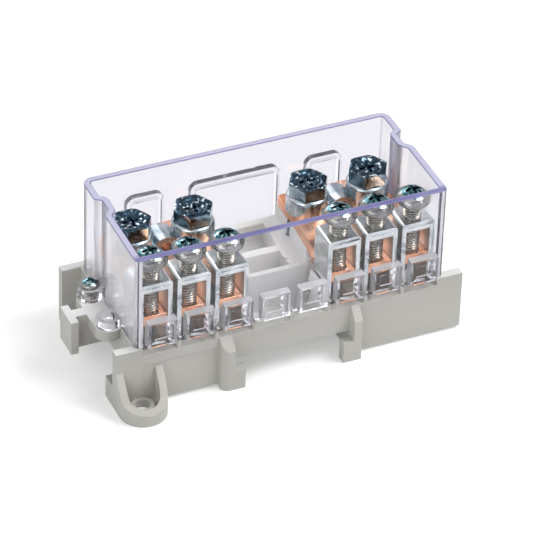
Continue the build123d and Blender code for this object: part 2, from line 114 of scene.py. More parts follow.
class Graph:
    """A material's node tree, with short calls for its usual nodes."""

    def __init__(self, name: str) -> None:
        """Starts an empty material.

        Args:
            name: The material's name.
        """
        self.material = bpy.data.materials.new(name)
        self.material.use_nodes = True
        self.tree = self.material.node_tree
        self.tree.nodes.clear()
        self.output = self.add("ShaderNodeOutputMaterial")
        self.place = self.add("ShaderNodeTexCoord").outputs["Object"]

    def add(self, kind: str, **settings: object) -> bpy.types.Node:
        """Adds a node.

        Args:
            kind: The node's type name.
            **settings: Properties to set on it.

        Returns:
            The new node.
        """
        node = self.tree.nodes.new(kind)
        for key, value in settings.items():
            setattr(node, key, value)
        return node

    def join(self, source: bpy.types.NodeSocket, target: bpy.types.NodeSocket) -> None:
        """Links one socket to another."""
        self.tree.links.new(source, target)

    def noise(
        self, scale: float, detail: float = 3.0, stretch: Colour = (1.0, 1.0, 1.0)
    ) -> bpy.types.NodeSocket:
        """Adds a noise that lies in the piece.

        Args:
            scale: Lumps per metre.
            detail: Octaves.
            stretch: How much faster the noise changes along each axis.

        Returns:
            The noise's factor socket.
        """
        mapping = self.add("ShaderNodeMapping")
        mapping.inputs["Scale"].default_value = stretch
        self.join(self.place, mapping.inputs["Vector"])
        noise = self.add("ShaderNodeTexNoise")
        noise.inputs["Scale"].default_value = scale
        noise.inputs["Detail"].default_value = detail
        self.join(mapping.outputs["Vector"], noise.inputs["Vector"])
        return noise.outputs["Fac"]

    def between(
        self, factor: bpy.types.NodeSocket, low: float, high: float
    ) -> bpy.types.NodeSocket:
        """Maps a noise's usual range onto low to high.

        Args:
            factor: The noise.
            low: Value where the noise is weak.
            high: Value where it is strong.

        Returns:
            The mapped value's socket.
        """
        node = self.add("ShaderNodeMapRange")
        node.inputs["From Min"].default_value = NOISE_LOW
        node.inputs["From Max"].default_value = NOISE_HIGH
        node.inputs["To Min"].default_value = low
        node.inputs["To Max"].default_value = high
        self.join(factor, node.inputs["Value"])
        return node.outputs["Result"]

    def tint(
        self, factor: bpy.types.NodeSocket, *stops: tuple[float, Colour]
    ) -> bpy.types.NodeSocket:
        """Adds a colour ramp.

        Args:
            factor: What runs along the ramp.
            *stops: Each a position and its colour.

        Returns:
            The ramp's colour socket.
        """
        ramp = self.add("ShaderNodeValToRGB")
        elements = ramp.color_ramp.elements
        while len(elements) < len(stops):
            elements.new(0.5)
        for element, (position, colour) in zip(elements, stops):
            element.position = position
            element.color = (*colour, 1.0)
        self.join(factor, ramp.inputs["Fac"])
        return ramp.outputs["Color"]

    def bump(
        self, height: bpy.types.NodeSocket, depth: float, strength: float
    ) -> bpy.types.NodeSocket:
        """Turns a height into a normal.

        Args:
            height: The height's socket.
            depth: Relief in metres.
            strength: How much of it shows.

        Returns:
            The normal's socket.
        """
        node = self.add("ShaderNodeBump")
        node.inputs["Distance"].default_value = depth
        node.inputs["Strength"].default_value = strength
        self.join(height, node.inputs["Height"])
        return node.outputs["Normal"]

    def shader(self, **values: object) -> bpy.types.Node:
        """Adds the Principled shader and joins it to the output.

        Args:
            **values: Socket names with spaces as underscores, each a number, colour or socket.

        Returns:
            The shader node.
        """
        node = self.add("ShaderNodeBsdfPrincipled")
        for key, value in values.items():
            socket = node.inputs[key.replace("_", " ")]
            if isinstance(value, bpy.types.NodeSocket):
                self.join(value, socket)
            else:
                socket.default_value = value
        self.join(node.outputs["BSDF"], self.output.inputs["Surface"])
        return node


@dataclass(frozen=True)
class MouldedPlastic:
    """Grey insulating plastic with a fine matt grain and faint flow marks.

    Attributes:
        name: The material's name.
        dark: Colour where the plastic is darkest.
        light: Colour where it is lightest.
        grain: Lumps of the surface grain per metre.
        flow: Flow marks per metre.
    """

    name: str = "grey_moulding"
    dark: Colour = (0.47, 0.462, 0.432)
    light: Colour = (0.53, 0.522, 0.49)
    grain: float = 2600.0
    flow: float = 45.0

    def material(self) -> bpy.types.Material:
        """Builds the material."""
        graph = Graph(self.name)
        flow = graph.noise(self.flow, 4.0, (0.5, 1.0, 1.6))
        grain = graph.noise(self.grain, 2.0)
        graph.shader(
            Base_Color=graph.tint(flow, (0.3, self.dark), (0.7, self.light)),
            Roughness=graph.between(grain, 0.4, 0.52),
            Specular_IOR_Level=0.45,
            Normal=graph.bump(grain, 0.03 * MM, 0.35),
        )
        return graph.material


@dataclass(frozen=True)
class ClearPlastic:
    """Clear polished plastic whose long way through the edges shows blue-violet.

    Attributes:
        name: The material's name.
        face: Tint that one wall gives.
        depth: Colour that long ways through the plastic take.
        density: How fast they take it, per metre.
        bend: Index of refraction.
        haze: Share of the light that the surface scatters.
    """

    name: str = "clear_cover"
    face: Colour = (0.975, 0.973, 0.99)
    depth: Colour = (0.1, 0.08, 0.5)
    density: float = 14.0
    bend: float = 1.24
    haze: float = 0.025

    def material(self) -> bpy.types.Material:
        """Builds the material."""
        graph = Graph(self.name)
        ripple = graph.noise(60.0, 1.5)
        glass = graph.shader(
            Base_Color=(*self.face, 1.0),
            Transmission_Weight=1.0 - self.haze,
            IOR=self.bend,
            Specular_IOR_Level=0.9,
            Roughness=0.03,
            Normal=graph.bump(ripple, 0.2 * MM, 0.05),
        )
        clear = graph.add("ShaderNodeBsdfTransparent")
        clear.inputs["Color"].default_value = (0.98, 0.98, 0.99, 1.0)
        mix = graph.add("ShaderNodeMixShader")
        graph.join(graph.add("ShaderNodeLightPath").outputs["Is Shadow Ray"], mix.inputs["Fac"])
        graph.join(glass.outputs["BSDF"], mix.inputs[1])
        graph.join(clear.outputs["BSDF"], mix.inputs[2])
        graph.join(mix.outputs["Shader"], graph.output.inputs["Surface"])
        deep = graph.add("ShaderNodeVolumeAbsorption")
        deep.inputs["Color"].default_value = (*self.depth, 1.0)
        deep.inputs["Density"].default_value = self.density
        graph.join(deep.outputs["Volume"], graph.output.inputs["Volume"])
        return graph.material


@dataclass(frozen=True)
class GlowingEdge:
    """The cover's rim, coloured with a painted glow of the light that the walls gather.

    Attributes:
        name: The material's name.
        dark: Darker blue-violet of the front run's painted glow.
        light: Lighter blue-violet of the front run's painted glow.
        pale: Paler painted glow of the other runs.
        front: Where along Y the front's colour starts and stops to fade.
    """

    name: str = "cover_rim"
    dark: Colour = (0.15, 0.14, 0.34)
    light: Colour = (0.24, 0.23, 0.46)
    pale: Colour = (0.55, 0.54, 0.72)
    front: tuple[float, float] = (-19.6 * MM, -17.6 * MM)

    def material(self) -> bpy.types.Material:
        """Builds the material."""
        graph = Graph(self.name)
        # Painted glow: the front run a deeper blue-violet, the other runs paler, for the light each
        # gives out.
        violet = graph.tint(graph.noise(90.0, 2.0), (0.35, self.dark), (0.65, self.light))
        parts = graph.add("ShaderNodeSeparateXYZ")
        graph.join(graph.place, parts.inputs["Vector"])
        back = graph.add("ShaderNodeMapRange")
        back.inputs["From Min"].default_value, back.inputs["From Max"].default_value = self.front
        graph.join(parts.outputs["Y"], back.inputs["Value"])
        blend = graph.add("ShaderNodeMix", data_type="RGBA")
        graph.join(back.outputs["Result"], blend.inputs["Factor"])
        graph.join(violet, blend.inputs[MIX_A])
        blend.inputs[MIX_B].default_value = (*self.pale, 1.0)
        graph.shader(
            Base_Color=blend.outputs[MIX_RESULT],
            Transmission_Weight=0.1,
            Roughness=0.22,
            IOR=1.45,
        )
        return graph.material


@dataclass(frozen=True)
class ZincPlate:
    """Zinc plated steel with cloudy passivation and tumbling marks.

    Attributes:
        name: The material's name.
        dark: Colour of the darkest clouds.
        middle: Colour between.
        light: Colour of the lightest clouds.
        smooth: Roughness where the marks are weak.
        rough: Roughness where they are strong.
        cloud: Clouds per metre.
        marks: Marks per metre.
        relief: How much the marks dent the surface.
    """

    name: str
    dark: Colour
    middle: Colour
    light: Colour
    smooth: float
    rough: float
    cloud: float = 170.0
    marks: float = 2400.0
    relief: float = 0.1

    def material(self) -> bpy.types.Material:
        """Builds the material."""
        graph = Graph(self.name)
        cloud = graph.noise(self.cloud, 4.0)
        marks = graph.noise(self.marks, 3.0)
        graph.shader(
            Base_Color=graph.tint(cloud, (0.34, self.dark), (0.5, self.middle), (0.66, self.light)),
            Metallic=1.0,
            Roughness=graph.between(marks, self.smooth, self.rough),
            Normal=graph.bump(marks, 0.02 * MM, self.relief),
        )
        return graph.material


@dataclass(frozen=True)
class GlintingZinc:
    """The top of a head: blue-green passivation painted dark as shade, broken by painted glints.

    Attributes:
        name: The material's name.
        dark: Colour of most of it, painted dark as shade.
        middle: Colour round the painted glints.
        bright: Colour of the painted glints.
        facets: Painted glints, and the dents under them, per metre.
    """

    name: str
    dark: Colour
    middle: Colour
    bright: Colour = (0.9, 0.97, 0.98)
    facets: float = 900.0

    def material(self) -> bpy.types.Material:
        """Builds the material."""
        graph = Graph(self.name)
        facets = graph.noise(self.facets, 2.0)
        # The noise's peaks are painted glints and the rest painted shade; the same noise dents the
        # surface.
        stops = ((0.48, self.dark), (0.6, self.middle), (0.67, self.bright))
        graph.shader(
            Base_Color=graph.tint(facets, *stops),
            Metallic=1.0,
            Roughness=0.16,
            Normal=graph.bump(facets, 0.12 * MM, 0.25),
        )
        return graph.material


@dataclass(frozen=True)
class BareCopper:
    """Rolled copper bar, brushed along the bar and browned a little.

    Attributes:
        name: The material's name.
        brown: Colour where it is browned.
        orange: Its usual colour.
        pale: Colour where it is bright.
    """

    name: str = "bare_copper"
    brown: Colour = (0.52, 0.21, 0.11)
    orange: Colour = (0.79, 0.38, 0.22)
    pale: Colour = (0.94, 0.61, 0.45)

    def material(self) -> bpy.types.Material:
        """Builds the material."""
        graph = Graph(self.name)
        cloud = graph.noise(120.0, 3.0)
        brushed = graph.noise(900.0, 3.0, (3.0, 0.12, 3.0))
        graph.shader(
            Base_Color=graph.tint(cloud, (0.3, self.brown), (0.5, self.orange), (0.72, self.pale)),
            Metallic=1.0,
            Roughness=graph.between(brushed, 0.2, 0.32),
            Normal=graph.bump(brushed, 0.02 * MM, 0.12),
        )
        return graph.material


Finish = MouldedPlastic | ClearPlastic | GlowingEdge | ZincPlate | GlintingZinc | BareCopper

GREY = MouldedPlastic()
# A lighter copy of the grey for the base under the cover: painted light.
PAINTED_LIGHT_GREY = MouldedPlastic("grey_painted_light", (0.69, 0.685, 0.67), (0.75, 0.745, 0.73))
CLEAR = ClearPlastic()
# End walls: a hazier copy of the clear plastic that whitens them, as painted reflection.
END_REFLECTION = ClearPlastic("clear_ends_painted_reflection", haze=0.3)
# Hood tops and sides: a hazier copy that whitens them, as painted reflection.
HOOD = ClearPlastic("clear_hoods_painted_reflection", haze=0.4)
# Where the end walls stand behind the front face: a whiter, hazier copy, as painted light.
STRIP = ClearPlastic("clear_wall_ends_painted_light", face=(0.93, 0.92, 1.0), haze=0.75)
# Back wall: a copy of the clear plastic tinted darker grey, as painted shade.
BACK_WALL_SHADE = ClearPlastic("clear_back_painted_shade", face=(0.8, 0.795, 0.84), haze=0.05)
RIM = GlowingEdge()
# The rim's rounded edges take a darker copy of its painted glow: painted shade for the dark lines
# there.
RIM_EDGE = GlowingEdge("cover_rim_edge", pale=(0.2, 0.19, 0.38))
COPPER = BareCopper()
CAGE_ZINC = ZincPlate(
    "cage_zinc", (0.46, 0.51, 0.53), (0.6, 0.635, 0.64), (0.74, 0.76, 0.755), 0.14, 0.22
)
CAGE_INSIDE = ZincPlate(
    "cage_inside_zinc", (0.72, 0.55, 0.44), (0.82, 0.68, 0.58), (0.9, 0.8, 0.72), 0.3, 0.42
)
SCREW_ZINC = ZincPlate(
    "screw_zinc", (0.17, 0.175, 0.17), (0.26, 0.26, 0.25), (0.38, 0.38, 0.37), 0.12, 0.2
)
SHANK_ZINC = ZincPlate(
    "shank_zinc", (0.34, 0.31, 0.26), (0.46, 0.43, 0.37), (0.6, 0.57, 0.5), 0.2, 0.3
)
# Near black: painted shade in the thread's grooves.
ROOT_SHADE = ZincPlate(
    "thread_root_painted_shade", (0.02, 0.018, 0.014), (0.035, 0.03, 0.024), (0.06, 0.052, 0.042), 0.4, 0.5
)
BOLT_ZINC = ZincPlate(
    "bolt_zinc", (0.12, 0.17, 0.21), (0.24, 0.33, 0.39), (0.5, 0.6, 0.65), 0.1, 0.18, relief=0.03
)
SADDLE_ZINC = ZincPlate(
    "saddle_zinc", (0.24, 0.29, 0.33), (0.42, 0.46, 0.49), (0.62, 0.65, 0.67), 0.16, 0.28
)
# Head tops: painted dark as shade, with painted glints.
CROWN_GLINTS = GlintingZinc("crown_painted_glints", (0.05, 0.12, 0.14), (0.18, 0.32, 0.35))
HEX_TOP_GLINTS = GlintingZinc("hex_top_painted_glints", (0.025, 0.05, 0.075), (0.07, 0.13, 0.18), facets=850.0)


class Finishes:
    """The materials, each built once."""

    def __init__(self) -> None:
        """Starts with none built."""
        self.built: dict[str, bpy.types.Material] = {}

    def dress(self, piece: bpy.types.Object, finish: Finish, slot: str) -> None:
        """Gives a piece its first material.

        Args:
            piece: The object.
            finish: The finish.
            slot: The record's material slot; not used.
        """
        if piece.data.materials:
            piece.data.materials.clear()
        self.add(piece, finish)

    def add(self, piece: bpy.types.Object, finish: Finish) -> None:
        """Adds a finish to the end of a piece's list.

        Args:
            piece: The object.
            finish: The finish, whose material is built when it is first used.
        """
        if finish.name not in self.built:
            self.built[finish.name] = finish.material()
        piece.data.materials.append(self.built[finish.name])


@dataclass
class Workshop:
    """What every sub-assembly is built with.

    Attributes:
        nodes: The CAD nodes by name.
        bodies: The body that each node belongs to.
        finishes: The materials.
    """

    nodes: dict[str, bpy.types.Object]
    bodies: dict[str, str]
    finishes: Finishes

    def names(self, part: Part) -> list[str]:
        """The nodes of one kind, in order."""
        return sorted(name for name in self.nodes if name.startswith(part.value))

    def copied(self, node: str) -> bmesh.types.BMesh:
        """Copies a node's mesh with its flat faces whole.

        Args:
            node: The CAD node's name.

        Returns:
            A bmesh of closed, merged faces.
        """
        shape = bmesh.new()
        shape.from_mesh(self.nodes[node].data)
        bmesh.ops.remove_doubles(shape, verts=shape.verts, dist=WELD)
        bmesh.ops.dissolve_limit(
            shape, angle_limit=FLAT_ANGLE, verts=shape.verts, edges=shape.edges, delimit={"NORMAL"}
        )
        return shape

    def piece(self, shape: bmesh.types.BMesh, name: str, sharp: float = 38.0) -> bpy.types.Object:
        """Makes an object of a bmesh, smooth but for its sharp edges.

        Args:
            shape: The bmesh, which is freed.
            name: The object's name.
            sharp: Edges that turn by more degrees than this stay sharp.

        Returns:
            The object.
        """
        mesh = bpy.data.meshes.new(name)
        shape.to_mesh(mesh)
        shape.free()
        mesh.shade_smooth()
        mesh.set_sharp_from_angle(angle=math.radians(sharp))
        made = bpy.data.objects.new(name, mesh)
        bpy.context.scene.collection.objects.link(made)
        return made

    def settle(self, piece: bpy.types.Object) -> None:
        """Applies a piece's modifiers to its mesh."""
        bpy.context.view_layer.update()
        graph = bpy.context.evaluated_depsgraph_get()
        mesh = bpy.data.meshes.new_from_object(piece.evaluated_get(graph))
        piece.modifiers.clear()
        piece.data = mesh

    def combine(self, piece: bpy.types.Object, tool: bmesh.types.BMesh, operation: str) -> None:
        """Cuts or trims a piece with another shape.

        Args:
            piece: The object that is changed.
            tool: The cutting shape, which is freed.
            operation: DIFFERENCE, INTERSECT or UNION.
        """
        cutter = self.piece(tool, "cutter")
        boolean = piece.modifiers.new("cut", "BOOLEAN")
        boolean.operation = operation
        boolean.solver = "EXACT"
        boolean.object = cutter
        self.settle(piece)
        bpy.data.objects.remove(cutter)

    def soften(
        self, piece: bpy.types.Object, width: float, segments: int = 2, angle: float = 30.0
    ) -> None:
        """Rounds a piece's edges.

        Blender narrows the rounding of a whole piece to what its shortest edges leave room for.

        Args:
            piece: The object.
            width: The widest that the rounding may be, in metres.
            segments: Its segments.
            angle: Edges that turn by fewer degrees stay as they are.
        """
        bevel = piece.modifiers.new("soft_edges", "BEVEL")
        bevel.width = width
        bevel.segments = segments
        bevel.limit_method = "ANGLE"
        bevel.angle_limit = math.radians(angle)
        bevel.harden_normals = True
        bevel.miter_outer = "MITER_ARC"

    def install(self, piece: bpy.types.Object, node: str, slot: str, *finishes: Finish) -> None:
        """Puts a finished piece in a node's place, on the node's body.

        Args:
            piece: The object.
            node: The CAD node that it stands for.
            slot: The record's material slot.
            *finishes: Its finishes, in the order of its faces' material numbers.
        """
        self.finishes.dress(piece, finishes[0], slot)
        for finish in finishes[1:]:
            self.finishes.add(piece, finish)
        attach(piece, self.bodies[node])
        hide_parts(node)
        LOG.info("%s stands for %s", piece.name, node)


def lathe(
    shape: bmesh.types.BMesh, axis: Vector, outline: list[tuple[float, float]], steps: int = 48
) -> None:
    """Turns an outline about an upright axis into a closed solid.

    Args:
        shape: The bmesh that it is added to.
        axis: A point on the axis.
        outline: Radius and height of each point, from one end on the axis to the other.
        steps: Faces around.
    """
    points = [shape.verts.new((axis.x + radius, axis.y, height)) for radius, height in outline]
    edges = [shape.edges.new(pair) for pair in zip(points, points[1:])]
    bmesh.ops.spin(
        shape, geom=points + edges, cent=axis, axis=(0, 0, 1), angle=math.tau, steps=steps,
        use_merge=True,
    )
    bmesh.ops.remove_doubles(shape, verts=shape.verts, dist=WELD)
    bmesh.ops.recalc_face_normals(shape, faces=shape.faces)


def dome(radius: float, low: float, top: float, points: int = 9) -> list[tuple[float, float]]:
    """A spherical cap's outline.

    Args:
        radius: The cap's radius at its rim.
        low: The rim's height.
        top: The crown's height.
        points: How many points it has.

    Returns:
        Radius and height of each point, from the rim to the axis.
    """
    rise = top - low
    sphere = (radius**2 + rise**2) / (2 * rise)
    reach = math.asin(min(1.0, radius / sphere))
    if rise > sphere:
        reach = math.pi - reach
    steps = [reach * (1 - i / (points - 1)) for i in range(points)]
    return [(sphere * math.sin(a), top - sphere + sphere * math.cos(a)) for a in steps]


def block(size: tuple[float, float, float], place: Matrix, foot: float = 1.0) -> bmesh.types.BMesh:
    """A box, narrowed towards its lower face.

    Args:
        size: Its sides.
        place: Where its middle goes.
        foot: Share of the width that is left at the bottom.

    Returns:
        A new bmesh.
    """
    shape = bmesh.new()
    bmesh.ops.create_cube(shape, size=1.0)
    low = [v for v in shape.verts if v.co.z < 0]
    bmesh.ops.scale(shape, vec=(foot, foot, 1.0), verts=low)
    bmesh.ops.scale(shape, vec=size, verts=shape.verts)
    bmesh.ops.transform(shape, matrix=place, verts=shape.verts)
    return shape


@dataclass(frozen=True)
class Thread:
    """A helical screw thread about an upright axis.

    Attributes:
        radius: Radius over the crests.
        pitch: Rise of one turn.
        depth: Crest to root.
        steps: Faces around.
        root_end: Share of a turn at which the root's flat ends.
        crest_start: Share at which the crest's flat starts.
        crest_end: Share at which it ends.
    """

    radius: float
    pitch: float
    depth: float
    steps: int = 28
    root_end: float = 0.26
    crest_start: float = 0.5
    crest_end: float = 0.74

    def build(self, shape: bmesh.types.BMesh, axis: Vector, low: float, high: float) -> None:
        """Adds the threaded rod.

        Args:
            shape: The bmesh that it is added to.
            axis: A point on the axis.
            low: Height of its lower end.
            high: Height of its upper end.
        """
        rod = bmesh.new()
        root = self.radius - self.depth
        turn = (
            (0.0, root), (self.root_end, root),
            (self.crest_start, self.radius), (self.crest_end, self.radius),
        )
        turns = math.ceil((high - low) / self.pitch) + 3
        start = low - 2 * self.pitch
        outline = [
            (radius, start + (i + share) * self.pitch)
            for i in range(turns)
            for share, radius in turn
        ]
        points = [rod.verts.new((axis.x + radius, axis.y, height)) for radius, height in outline]
        edges = [rod.edges.new(pair) for pair in zip(points, points[1:])]
        bmesh.ops.spin(
            rod, geom=points + edges, cent=axis, axis=(0, 0, 1),
            dvec=(0, 0, self.pitch / self.steps), angle=math.tau, steps=self.steps, use_merge=False,
        )
        bmesh.ops.remove_doubles(rod, verts=rod.verts, dist=WELD)
        for height, away in ((low, -1), (high, 1)):
            bmesh.ops.bisect_plane(
                rod, geom=rod.verts[:] + rod.edges[:] + rod.faces[:], plane_co=(0, 0, height),
                plane_no=(0, 0, away), clear_outer=True,
            )
        bmesh.ops.remove_doubles(rod, verts=rod.verts, dist=WELD)
        bmesh.ops.holes_fill(rod, edges=[edge for edge in rod.edges if edge.is_boundary])
        bmesh.ops.recalc_face_normals(rod, faces=rod.faces)
        # Faces deep in the grooves that do not look up take near-black painted shade.
        for face in rod.faces:
            middle = face.calc_center_median() - axis
            in_root = math.hypot(middle.x, middle.y) < self.radius - self.depth / 4
            looks_up = face.normal.z >= 0.1
            dark = in_root and not looks_up
            face.material_index = ScrewFace.ROOT if dark else ScrewFace.THREAD
        mesh = bpy.data.meshes.new("rod")
        rod.to_mesh(mesh)
        rod.free()
        shape.from_mesh(mesh)
        bpy.data.meshes.remove(mesh)


@dataclass(frozen=True)
class Recess:
    """A cross recess with four nicks between its arms.

    Attributes:
        span: Tip to tip of the cross.
        blade: Width of an arm at the top.
        depth: How deep it goes.
        nick: Length of each nick, or 0 for none.
        foot: Share of an arm's length and width that is left at the bottom.
        longer: The arms' cutter at its top against the span, since it narrows downwards.
        wider: The same against the blade.
        nick_place: How far out the nicks stand, as a share of the span.
        nick_width: Their width, as a share of the blade.
    """

    span: float
    blade: float
    depth: float
    nick: float = 0.0
    foot: float = 0.55
    longer: float = 1.25
    wider: float = 1.3
    nick_place: float = 0.36
    nick_width: float = 0.28

    def cut(self, shop: Workshop, piece: bpy.types.Object, axis: Vector, top: float) -> None:
        """Cuts the recess into a head.

        Args:
            shop: The workshop.
            piece: The head.
            axis: A point on the screw's axis.
            top: The height that the depth is counted from.
        """
        centre = Matrix.Translation((axis.x, axis.y, top))
        arm = (self.span * self.longer, self.blade * self.wider, 2 * self.depth)
        for turn in (0.0, 90.0):
            place = centre @ Matrix.Rotation(math.radians(turn), 4, "Z")
            shop.combine(piece, block(arm, place, self.foot), "DIFFERENCE")
        if not self.nick:
            return
        out = Matrix.Translation((self.span * self.nick_place, 0, 0))
        nick = (self.nick, self.blade * self.nick_width, self.depth)
        for turn in (45.0, 135.0, 225.0, 315.0):
            place = centre @ Matrix.Rotation(math.radians(turn), 4, "Z") @ out
            shop.combine(piece, block(nick, place), "DIFFERENCE")


@dataclass
class Screws:
    """Pan head machine screws: six in the clamps and two that hold the cover.

    Attributes:
        part: Which screws these are.
        shank: Radius over the thread.
        pitch: The thread's pitch.
        head: Height of the head.
        rim: Height of the head's upright rim.
        crown: Share of the head's radius within which the top takes painted shade and glints.
        sharp: Edges that turn by more degrees than this stay sharp.
    """

    part: Part
    shank: float
    pitch: float
    head: float
    rim: float
    crown: float = 0.74
    sharp: float = 50.0

    def build(self, shop: Workshop) -> None:
        """Builds every screw of this kind.

        Args:
            shop: The workshop.
        """
        for node in shop.names(self.part):
            low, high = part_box(node)
            axis = (low + high) / 2
            radius = (high.x - low.x) / 2
            under = high.z - self.head
            edge = 0.06 * radius
            shape = bmesh.new()
            lathe(shape, axis, [
                (0.0, under), (radius - 2 * edge, under), (radius - edge / 2, under + edge / 2),
                (radius, under + 2 * edge), *dome(radius, under + self.rim, high.z)[:-1],
                (0.0, high.z),
            ])
            piece = shop.piece(shape, f"{node}_finished", self.sharp)
            recess = Recess(
                span=radius * 1.04, blade=radius * 0.24, depth=self.head * 0.4, nick=radius * 0.3
            )
            recess.cut(shop, piece, axis, high.z)
            # The top of the dome takes painted shade and glints.
            for face in piece.data.polygons:
                away = math.hypot(face.center.x - axis.x, face.center.y - axis.y)
                if away < radius * self.crown and face.center.z > under + self.rim:
                    face.material_index = ScrewFace.CROWN
            shank = bmesh.new()
            thread = Thread(self.shank, self.pitch, depth=0.36 * self.pitch)
            thread.build(shank, axis, low.z, under + self.head / 3)
            shank.from_mesh(piece.data)
            bpy.data.objects.remove(piece)
            piece = shop.piece(shank, f"{node}_finished", self.sharp)
            shop.install(piece, node, "zinc_steel", SCREW_ZINC, SHANK_ZINC, CROWN_GLINTS, ROOT_SHADE)


@dataclass
class SaddleBolts:
    """Hexagon bolts with a cross recess that pull the saddles down on the main cables.

    Attributes:
        head: Height of the head.
        shank: Radius over the thread.
        pitch: The thread's pitch.
        chamfer: How far the chamfer reaches down the head's corners.
        dish: How deep the head's top is dished.
        recess: The cross in the dish.
        edge: Widest rounding of the head's edges.
        glint: Faces of the head whose normal rises by more than this take the painted shade and
            glints.
    """

    head: float = 4.0 * MM
    shank: float = 3.0 * MM
    pitch: float = 1.0 * MM
    chamfer: float = 0.55 * MM
    dish: float = 0.35 * MM
    recess: Recess = Recess(span=5.4 * MM, blade=1.15 * MM, depth=1.1 * MM)
    edge: float = 0.09 * MM
    glint: float = 0.2

    def build(self, shop: Workshop) -> None:
        """Builds the four bolts.

        Args:
            shop: The workshop.
        """
        for node in shop.names(Part.SADDLE_BOLT):
            low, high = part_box(node)
            axis = (low + high) / 2
            corner = (high.x - low.x) / 2
            under = high.z - self.head
            shape = bmesh.new()
            bmesh.ops.create_cone(
                shape, cap_ends=True, segments=6, radius1=corner, radius2=corner, depth=self.head,
                matrix=Matrix.Translation((axis.x, axis.y, under + self.head / 2))
                @ Matrix.Rotation(math.radians(30.0), 4, "Z"),
            )
            piece = shop.piece(shape, f"{node}_finished", sharp=25.0)
            trim = bmesh.new()
            flat = corner * math.cos(math.pi / 6)
            past = corner + MM / 2
            shoulder, lip, bowl = flat * 1.06, flat * 0.76, flat * 0.66
            lathe(trim, axis, [
                (0.0, under - MM), (past, under - MM), (past, high.z - self.chamfer),
                (shoulder, high.z), (lip, high.z), (bowl, high.z - self.dish),
                (0.0, high.z - self.dish),
            ], steps=72)
            shop.combine(piece, trim, "INTERSECT")
            self.recess.cut(shop, piece, axis, high.z - self.dish)
            shop.soften(piece, self.edge, angle=18.0)
            shop.settle(piece)
            # Faces that look up, and those in the recess, take painted shade and glints.
            in_recess = 0.6 * flat
            for face in piece.data.polygons:
                away = math.hypot(face.center.x - axis.x, face.center.y - axis.y)
                if face.normal.z > self.glint or away < in_recess:
                    face.material_index = ScrewFace.CROWN
            rod = bmesh.new()
            thread = Thread(self.shank, self.pitch, depth=0.34 * self.pitch)
            thread.build(rod, axis, low.z, under + MM)
            rod.from_mesh(piece.data)
            bpy.data.objects.remove(piece)
            piece = shop.piece(rod, f"{node}_finished", sharp=30.0)
            shop.install(piece, node, "zinc_steel", BOLT_ZINC, SHANK_ZINC, HEX_TOP_GLINTS, ROOT_SHADE)


@dataclass
class ClampCages:
    """Cages folded from steel strip, open to the front and the back.

    Attributes:
        sheet: Thickness of the strip.
        seam: Width of the line where the strip's two ends lie on each other.
        groove: Thickness of the seam's cutter, half of which goes into the strip.
        edge: Widest rounding of the strip's edges.
    """

    sheet: float = 1.3 * MM
    seam: float = 0.14 * MM
    groove: float = 0.7 * MM
    edge: float = 0.16 * MM

    def build(self, shop: Workshop) -> None:
        """Builds the six cages.

        Args:
            shop: The workshop.
        """
        for node in shop.names(Part.CAGE):
            low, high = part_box(node)
            piece = shop.piece(shop.copied(node), f"{node}_finished")
            middle = (low + high) / 2
            for y in (low.y, high.y):
                place = Matrix.Translation((middle.x + self.sheet / 2, y, high.z - self.sheet))
                width = high.x - low.x - self.sheet * 1.6
                shop.combine(piece, block((width, self.groove, self.seam), place), "DIFFERENCE")
            inside = (high.x - low.x) / 2 - self.sheet * 0.9
            for face in piece.data.polygons:
                sideways = abs(face.normal.x) > SQUARE_ON
                face.material_index = int(sideways and abs(face.center.x - middle.x) < inside)
            shop.soften(piece, self.edge)
            shop.install(piece, node, "zinc_steel", CAGE_ZINC, CAGE_INSIDE)


@dataclass
class ConductorSet:
    """The two copper bars and the pressed saddles on them.

    Attributes:
        bar_edge: Widest rounding of the bars' edges.
        saddle_edge: Widest rounding of the saddles' pressed edges.
    """

    bar_edge: float = 0.28 * MM
    saddle_edge: float = 0.5 * MM

    def build(self, shop: Workshop) -> None:
        """Builds the bars and the saddles, and dresses the captive nuts.

        Args:
            shop: The workshop.
        """
        for node in ("left_busbar", "right_busbar"):
            piece = shop.piece(shop.copied(node), f"{node}_finished")
            shop.soften(piece, self.bar_edge)
            shop.install(piece, node, "copper", COPPER)
        for node in ("left_saddle", "right_saddle"):
            piece = shop.piece(shop.copied(node), f"{node}_finished")
            shop.soften(piece, self.saddle_edge, segments=3)
            shop.install(piece, node, "zinc_steel", SADDLE_ZINC)
        for node in shop.names(Part.SADDLE_NUT):
            shop.finishes.dress(shop.nodes[node], BOLT_ZINC, "zinc_steel")


